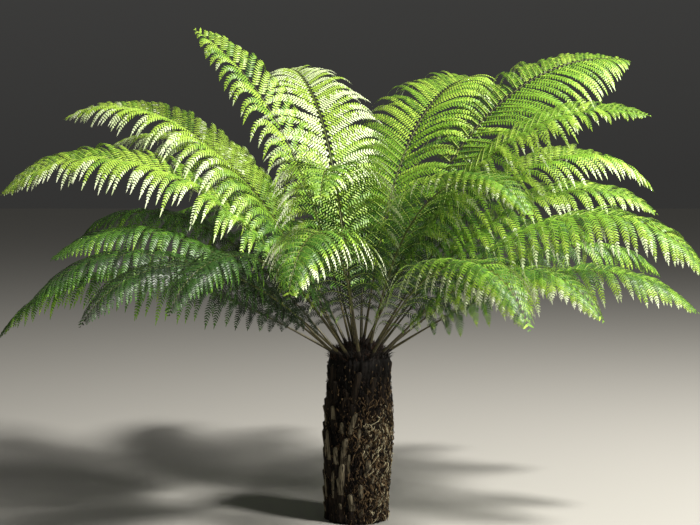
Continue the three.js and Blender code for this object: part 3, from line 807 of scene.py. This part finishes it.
# %% [markdown]
# ## Materials of the trunk
# The column is dead tissue: nearly black root fibre, dark or weathered stipe bases with pale pith at some
# broken ends, and rootlets from black to straw. The fibre's near black is also painted shade in the gaps
# between stubs, and the top is kept dark as painted shade under the crown. All of it is dry and matt.
# Patterns are stretched upright, since fibres run that way, and their size comes from bundles of fibres
# three millimetres wide, drawn twice as coarse so that they show. Rootlets are as thin as their pattern
# would be, so each has one plain brown.

# %% Fibre, stub and root materials
FIBRE, COARSER = 3, 2  # width of a bundle of fibres in millimetres, and how much coarser it is drawn


def fibre_material(name, dark, light, bump, stretch=9.0):
    """Matt fibrous tissue: noise stretched upright mixes two browns and drives a bump."""
    material, tree, shader = new_material(name, {"Roughness": 0.9, "Specular IOR Level": 0.25})
    across = 1 / (FIBRE * MM)
    scales = (across, across, across / stretch)
    noise = streaked(
        tree, shader, scales, {"Scale": 1 / COARSER, "Detail": 5.0}, (0.38, 0.68), (dark, light)
    )
    relief = add(
        tree, "ShaderNodeBump", {"Strength": bump, "Distance": FIBRE * MM}, {"Height": noise.outputs["Fac"]}
    )
    tree.links.new(relief.outputs["Normal"], shader.inputs["Normal"])
    return material


def root_material(name, colour):
    """A rootlet's dry skin in one plain brown."""
    return new_material(
        name, {"Base Color": linear(colour), "Roughness": 0.8, "Specular IOR Level": 0.3}
    )[0]


# The core's browns are the fibre's own dark colour, made darker still as painted shade in the gaps.
fibre = fibre_material("root_fibre_and_gap_shade", "#040302", "#130D08", 0.9)
old_stipe = fibre_material("old_stipe", "#0A0705", "#352B20", 0.6, 14.0)
weathered = fibre_material("weathered_stipe", "#2C261C", "#948A72", 0.6, 14.0)
pith = fibre_material("broken_pith", "#5A5142", "#9C8F75", 0.5, 2.0)
ROOTS = {"root_black": "#0D0805", "root_umber": "#2F2117", "root_tan": "#80694A", "root_straw": "#D4CAA6"}
roots = [root_material(name, colour) for name, colour in ROOTS.items()]
bark = bark_surface(np.random.default_rng(7))
bark.piece("trunk_core", [fibre], "trunk", "trunk_fibre")
print("triangles in the core", bark.triangles())

# %% [markdown]
# ## Stubs of old fronds
# When a frond dies its stipe breaks off, and the base stays on the trunk as an upright stub. They stand in
# the spiral that leaves grow in: each next one is turned by the golden angle and set a little higher.
# Each is half a tapered tube, sunk at its foot and standing out at its top, with a blunt end that is pale
# where it broke late. One stub could be modelled and copied by a modifier, but then all would be alike.

# %% Stubs as small grids, all at once
STUBS = 125
GOLDEN_ANGLE = np.radians(137.508)
STUB_LENGTHS, STUB_WIDTHS = (80, 300), (24, 54)  # in millimetres
LOWEST_TOP, HIGHEST_TOP = 60, 20  # tops of stubs run from this height to this far above the shoulder
STUB_ROWS, STUB_COLUMNS = 10, 6
STUB_TURN, STUB_BEND = 0.08, 0.11  # scatter of the angle at which a stub stands, and of its sideways bend
STUB_TAPER, ROUND_END, BLUNT = 0.25, 0.1, 0.05  # shares: width lost, length that rounds, width left
STUB_THICK = 0.42  # how far its section stands out, over its width
STUB_START, LEAST_RISE, MORE_RISE = -20, 5, (2, 10)  # how far out its line starts, and moves from there
STUB_PROUD = 13  # the most that any of it stands out of the frame's surface
PALE_ENDS = 0.4  # share of the stubs whose end is broken to pale pith
WEATHERED = 0.6  # share of the stubs below the dark top whose face is bleached
# Painted shade: above this height no stub is bleached, so the top stays black under the crown, where the
# stubs are also young.
CROWN_SHADE_TOP = 560  # above this height the stubs are young and black, in millimetres


def lessened(share):
    """A factor that goes evenly from 0.4 where a share is 0 to 1 where it is 1."""
    return 0.4 + 0.6 * share


def stub_points(rng):
    """A stub's grid runs from its foot (s = 0) to its end (s = 1) and round its half section (a = 0 to pi).

    Its width narrows slightly upwards and closes in a round end, its section stands out as sin a, and its
    line moves outwards with s^1.5. Rows stand closer towards the end, as 1 - (1 - share)^2.4. The heights of
    the stubs' tops are returned too.
    """
    number = np.arange(STUBS)
    top = LOWEST_TOP + (SHOULDER_HEIGHT + HIGHEST_TOP - LOWEST_TOP) * (number + 0.5) / STUBS
    turned = number * GOLDEN_ANGLE + rng.normal(0, STUB_TURN, STUBS)
    bare = 1 - shagginess(turned, 0 * top)
    length = STUB_LENGTHS[0] + np.ptp(STUB_LENGTHS) * rng.random(STUBS) * lessened(bare)
    length = np.minimum(length, top)
    width = STUB_WIDTHS[0] + np.ptp(STUB_WIDTHS) * rng.random(STUBS) * lessened(bare)
    rise = rng.uniform(*MORE_RISE, STUBS)
    s = 1 - np.linspace(1, 0, STUB_ROWS) ** 2.4
    close = np.sqrt(np.clip(1 - ((s - (1 - ROUND_END)).clip(0) / ROUND_END) ** 2, 0, 1))
    close[-1] = BLUNT
    a = np.linspace(0, np.pi, STUB_COLUMNS)
    shape = (STUBS, STUB_ROWS, STUB_COLUMNS)
    height = (top - length)[:, None, None] + length[:, None, None] * s[:, None] + np.zeros(shape)
    bend = rng.normal(0, STUB_BEND, STUBS)[:, None, None] * s[:, None] ** 2
    half = (width[:, None] * (1 - STUB_TAPER * s) * close / 2)[..., None]
    angle = turned[:, None, None] + bend + half * np.cos(a) / column_radius(height)
    ridge = (STUB_THICK * width[:, None] * close * (0.7 + 0.3 * s))[..., None] * np.sin(a)
    out = STUB_START + (rise[:, None] + LEAST_RISE) * s**1.5
    return on_trunk(angle, height, np.minimum(out[..., None] + ridge, STUB_PROUD)), top


def stub_surface(rng):
    """All stubs. Some are bleached on the face that looks outwards, and some have pale pith at the end."""
    points, top = stub_points(rng)
    start = np.arange(STUBS)[:, None, None, None] * STUB_ROWS * STUB_COLUMNS
    r = np.arange(STUB_ROWS - 1)[:, None] * STUB_COLUMNS
    c = np.arange(STUB_COLUMNS - 1)
    quads = np.stack([r + c + 1, r + c, r + c + STUB_COLUMNS, r + c + STUB_COLUMNS + 1], axis=-1) + start
    pale = rng.random(STUBS)[:, None, None] < PALE_ENDS
    bleached = (rng.random(STUBS) < np.where(top < CROWN_SHADE_TOP, WEATHERED, 0))[:, None, None]
    face = (r >= 2 * STUB_COLUMNS) & (c > 0) & (c < STUB_COLUMNS - 2)
    end = r >= (STUB_ROWS - 2) * STUB_COLUMNS
    looks = np.zeros(quads.shape[:-1], int)
    looks[np.broadcast_to(bleached & face, looks.shape)] = 1
    looks[np.broadcast_to(pale & end, looks.shape)] = 2
    stubs = Surface()
    stubs.add(points, [quads.reshape(-1, 4)], [looks.ravel()])
    return stubs


stubs = stub_surface(np.random.default_rng(11))
stubs.piece("trunk_stubs", [old_stipe, weathered, pith], "trunk", "trunk_fibre")
print("triangles in the stubs", stubs.triangles())

# %% [markdown]
# ## Rootlets and hair
# Thousands of fine roots grow down between the stubs and make the trunk look shaggy, and the head is packed
# with dark hair from which the stipes rise. A particle system would draw them, but it isn't exported, so
# they are thin three-sided tubes, larger than life so that they show.

# %% Rootlets down the trunk
ROOTLETS, TRIED = 9000, 4  # how many grow, and how many places are tried for each
BALD = 0.12  # root growth on the bare side, as a share of full growth
ROOTLET_POINTS = 5
ROOTLET_RADII = (0.8, 2.6)  # this and all sizes below are in millimetres
# They start from START_MARGIN above the ground to as far above the shoulder. No point of one is further
# above the shoulder than TOP_MARGIN, or nearer to the ground than GROUND_MARGIN.
START_MARGIN, TOP_MARGIN, GROUND_MARGIN = 20, 10, 2
SHORTEST, LONGER, LUSHER = 8, 12, 26  # least length, what chance adds, and what a shaggy place adds to that
BED, RECESS = 9, 8  # how far in and out the mat of rootlets reaches, and how far it is sunk where bare
WAVE_SIZE, WAVE_TURNS, SLANT_SIZE = 0.12, (3, 9), 0.7  # shares of the length, and radians along it
LIFT, LIFT_SHARE, SETTLE = 7, (-0.3, 1), 3  # how far a rootlet's middle arches out, and its end goes back in
STRAYS, STRAY_REACH = 0.06, (6, 18)  # share whose end stands off where it is shaggy, and how far it does
ROOT_TONES = (0.38, 0.6, 0.8)  # where the browns change, from black to straw
LONE_TANS, TAN = 0.1, 0.7  # share of the rootlets that are tan wherever they grow, and that tone


def rootlet_surface(rng):
    """Rootlets: from a start on the trunk each runs down, and its angle and height off the surface wave.

    Of the places tried, those with the least chance number over (0.12 + shagginess) grow a rootlet.
    """
    height = rng.uniform(START_MARGIN, SHOULDER_HEIGHT + START_MARGIN, TRIED * ROOTLETS)
    angle = rng.uniform(0, 2 * np.pi, TRIED * ROOTLETS)
    grown = np.argsort(rng.random(TRIED * ROOTLETS) / (BALD + shagginess(angle, height)))[:ROOTLETS]
    height, angle = height[grown], angle[grown]
    shaggy = shagginess(angle, height)
    length = SHORTEST + (LONGER + LUSHER * shaggy) * rng.random(ROOTLETS) ** 2
    stray = rng.random(ROOTLETS) < STRAYS * shaggy
    out = rng.uniform(-BED, BED, ROOTLETS) * lessened(shaggy) - RECESS * (1 - shaggy)
    v = np.linspace(0, 1, ROOTLET_POINTS)
    wave = length[:, None] * rng.normal(0, WAVE_SIZE, (ROOTLETS, 1))
    wave = wave * np.sin(v * rng.uniform(*WAVE_TURNS, (ROOTLETS, 1)))
    slant = rng.normal(0, SLANT_SIZE, (ROOTLETS, 1)) * (0.3 + 0.7 * shaggy[:, None]) * length[:, None] * v
    down = np.maximum(height[:, None] - length[:, None] * v, GROUND_MARGIN)
    lift = LIFT * np.sin(np.pi * v) * rng.uniform(*LIFT_SHARE, (ROOTLETS, 1))
    off = out[:, None] + lift - SETTLE * v
    off = off + np.where(stray, rng.uniform(*STRAY_REACH, ROOTLETS), 0)[:, None] * v**2
    shift = angle[:, None] + (wave + slant) / column_radius(down)
    lines = on_trunk(shift, np.minimum(down, SHOULDER_HEIGHT + TOP_MARGIN), off)
    radii = MM * rng.uniform(*ROOTLET_RADII, (ROOTLETS, 1)) * (1 - 0.5 * v)
    # Rootlets are darker where growth is thin, on the bare side and towards the head; the darkening towards
    # the head is painted shade under the crown.
    tone = rng.random(ROOTLETS) * lessened(shaggy)
    tone = np.where(rng.random(ROOTLETS) < LONE_TANS, TAN, tone)
    look = np.searchsorted(ROOT_TONES, tone)
    points, groups = tubes(lines, radii, 3)
    rootlets = Surface()
    rootlets.add(points, groups, [np.repeat(look, len(g) // ROOTLETS) for g in groups])
    return rootlets


rootlets = rootlet_surface(np.random.default_rng(21))
rootlets.piece("trunk_rootlets", roots, "trunk", "trunk_fibre")
print("triangles in the rootlets", rootlets.triangles())

# %% Hair on the head and round the stipes' feet
HAIRS = 1800
HAIR_POINTS = 4
HAIR_LENGTHS, HAIR_RADII = (22, 60), (0.7, 1.4)  # in millimetres
HAIRY_SHARE, HAIR_SINK = 0.94, 9  # share of the head's radius that bears hair, and how deep it is rooted
HAIR_LEAN, HAIR_SCATTER, HAIR_DROOP = 0.35, 0.3, 0.35  # its lean at the edge, any other lean, and its bend
HAIR_COLOURS = {"hair_black": "#0C0805", "hair_brown": "#1D130B", "hair_russet": "#40291A"}
HAIR_SHARES = (0.45, 0.4, 0.15)


def hair_surface(rng):
    """Hairs: each starts on the rounded head, leans outwards with its radius, and bends down with v^2."""
    ring = SHOULDER_RADIUS * np.sqrt(rng.uniform(0, 1, HAIRS)) * HAIRY_SHARE
    angle = rng.uniform(0, 2 * np.pi, HAIRS)
    outward = np.stack([np.cos(angle), np.sin(angle), 0 * angle], axis=-1)
    middle = np.stack([LEAN + 0 * ring, 0 * ring, head_height(ring) - HAIR_SINK], axis=-1)
    start = MM * (ring[:, None] * outward + middle)
    lean = HAIR_LEAN * (ring / SHOULDER_RADIUS)[:, None] * outward
    heading = unit(lean + UP + rng.normal(0, HAIR_SCATTER, (HAIRS, 3)))
    length = rng.uniform(*HAIR_LENGTHS, HAIRS)[:, None, None] * MM
    v = np.linspace(0, 1, HAIR_POINTS)[:, None]
    lines = start[:, None] + heading[:, None] * length * v - HAIR_DROOP * UP * length * v**2
    radii = MM * rng.uniform(*HAIR_RADII, (HAIRS, 1)) * (1 - 0.6 * v[:, 0])
    points, groups = tubes(lines, radii, 3)
    look = rng.choice(len(HAIR_COLOURS), HAIRS, p=HAIR_SHARES)
    hair = Surface()
    hair.add(points, groups, [np.repeat(look, len(g) // HAIRS) for g in groups])
    return hair


hair = hair_surface(np.random.default_rng(31))
hair.piece("head_hair", [root_material(n, c) for n, c in HAIR_COLOURS.items()], "trunk", "trunk_fibre")
print("triangles in the hair", hair.triangles())

# %% [markdown]
# ## Floor, light and camera
# The fern stands on a plain pale floor. One large soft light stands high on the right and in front, where
# the sun is on a summer morning, and a grey sky fills the shadows. The leaves show best against something
# dark. A dark wall would throw no light back, so instead the sky is dim at the horizon, where it meets the
# floor with hardly a line, and brighter overhead, where it lights the plant. The camera is as high as a
# person's eyes and looks slightly down, with a lens of 71.5 mm on a sensor 36 mm wide.

# %% Floor and sky
FLOOR_HALF = 60.0  # in metres
floor = bpy.data.objects.new("floor", bpy.data.meshes.new("floor"))
corners = FLOOR_HALF * np.array([(-1, -1, 0), (1, -1, 0), (1, 1, 0), (-1, 1, 0)])
floor.data.from_pydata(corners.tolist(), [], [(0, 1, 2, 3)])
bpy.context.scene.collection.objects.link(floor)
ground, _, _ = new_material("pale_floor", {"Base Color": linear("#AAA8A2"), "Roughness": 0.95})
floor.data.materials.append(ground)

SKY_LOW, SKY_HIGH = 0.042, 0.145  # the sky's strength at the horizon and overhead
world = bpy.data.worlds.new("sky")
bpy.context.scene.world = world
world.use_nodes = True
sky = world.node_tree.nodes["Background"]
sky.inputs["Color"].default_value = linear("#E9E8E4")
direction = add(world.node_tree, "ShaderNodeTexCoord")
up = add(world.node_tree, "ShaderNodeSeparateXYZ", links={"Vector": direction.outputs["Generated"]})
brightness = add(
    world.node_tree, "ShaderNodeMapRange", {"To Min": SKY_LOW, "To Max": SKY_HIGH},
    {"Value": up.outputs["Z"]},
)
world.node_tree.links.new(brightness.outputs["Result"], sky.inputs["Strength"])
print("sky strength", SKY_LOW, "to", SKY_HIGH)

# %% Sun and camera
SUN_AZIMUTH, SUN_HEIGHT = -32, 48  # degrees from +X towards +Y, and above the horizon
SUN_DISTANCE, SUN_SIZE, SUN_WATTS = 9.0, 1.2, 2080  # distance and size in metres
SUN_TINT = (1.0, 0.97, 0.92)
CROWN_MIDDLE = (0, 0, 1.3)  # what the sun points at

to_sun = np.array([
    np.cos(np.radians(SUN_HEIGHT)) * np.cos(np.radians(SUN_AZIMUTH)),
    np.cos(np.radians(SUN_HEIGHT)) * np.sin(np.radians(SUN_AZIMUTH)),
    np.sin(np.radians(SUN_HEIGHT)),
])
lamp = bpy.data.lights.new("sun", "AREA")
lamp.size, lamp.energy, lamp.color = SUN_SIZE, SUN_WATTS, SUN_TINT
sun = bpy.data.objects.new("sun", lamp)
sun.location = np.array(CROWN_MIDDLE) + SUN_DISTANCE * to_sun
sun.rotation_euler = (np.radians(90 - SUN_HEIGHT), 0, np.radians(90 + SUN_AZIMUTH))
bpy.context.scene.collection.objects.link(sun)

CAMERA_PLACE = (-0.023, -6.4, 1.596)  # in metres
CAMERA_PITCH = -3.6  # degrees above the level
SENSOR, LENS = 36.0, 71.5  # in millimetres
view = bpy.data.cameras.new("camera")
view.sensor_width, view.lens = SENSOR, LENS
camera = bpy.data.objects.new("camera", view)
camera.location = CAMERA_PLACE
camera.rotation_euler = (np.radians(90 + CAMERA_PITCH), 0, 0)
bpy.context.scene.collection.objects.link(camera)
bpy.context.scene.camera = camera
bpy.context.scene.view_settings.view_transform = "Standard"
print("sun", [round(float(x), 2) for x in sun.location], "camera", CAMERA_PLACE)
